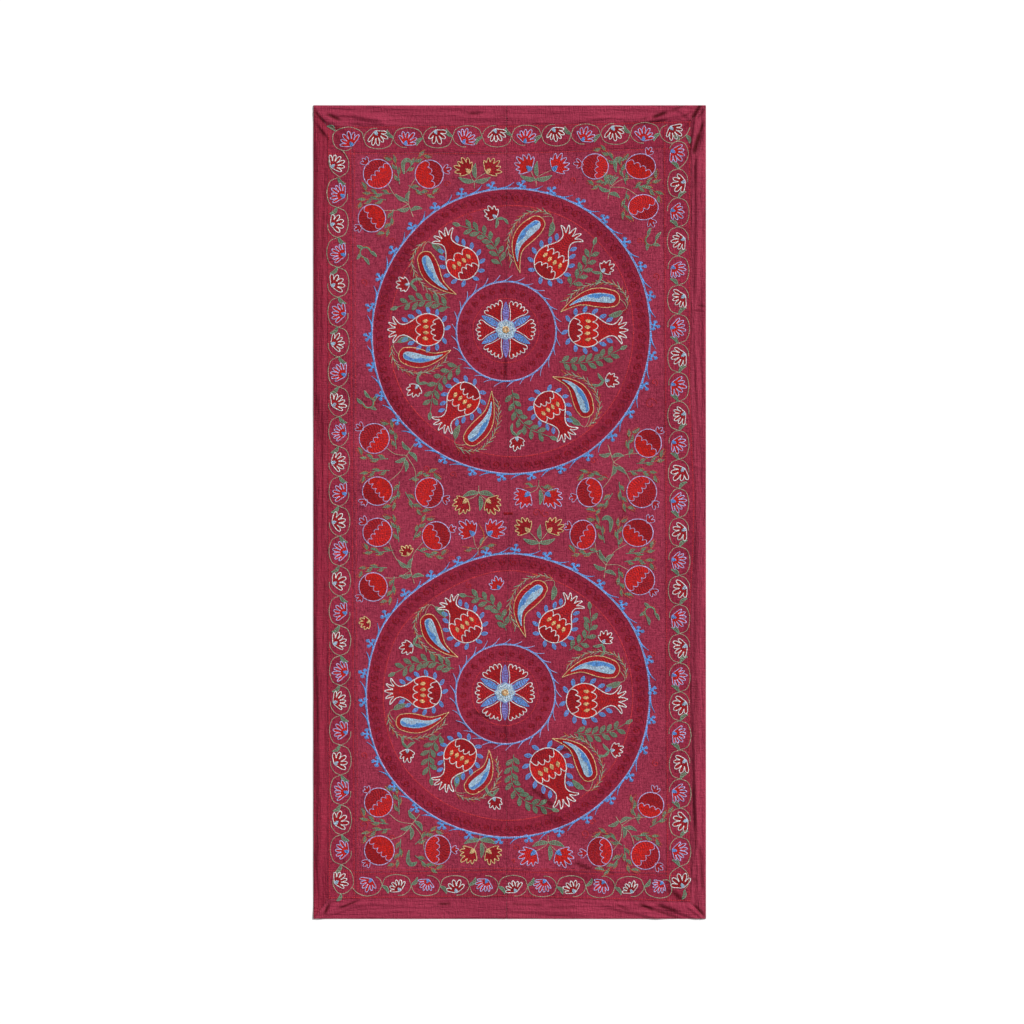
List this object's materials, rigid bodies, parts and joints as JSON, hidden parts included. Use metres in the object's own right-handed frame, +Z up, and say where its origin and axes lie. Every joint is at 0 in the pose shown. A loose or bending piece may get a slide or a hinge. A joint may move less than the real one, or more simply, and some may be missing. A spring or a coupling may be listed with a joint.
{
  "type": "embroidered textile panel",
  "caption": "Flat embroidered suzani cover: joined ground panels with medallions and fruit sprays, a vine band and a plain mitred border.",
  "frame": {"origin": "middle of the underside, on the surface the cloth lies on", "axes": "+X across the cloth's width, +Y along its length to the upper end of the design, +Z up out of its face"},
  "size_m": [0.9998, 2.0718, 0.0053],
  "materials": {
    "ground": "matt handloomed cotton and silk",
    "band": "matt handloomed cotton and silk",
    "margin": "soft satin sheen"
  },
  "bodies": {
    "root": {"field_left": "ground", "field_right": "ground", "band_left": "band", "band_right": "band", "band_top_left": "band", "band_top_right": "band", "band_bottom_left": "band", "band_bottom_right": "band", "margin_left": "margin", "margin_right": "margin", "margin_top_left": "margin", "margin_top_right": "margin", "margin_bottom_left": "margin", "margin_bottom_right": "margin"}
  },
  "joints": []
}
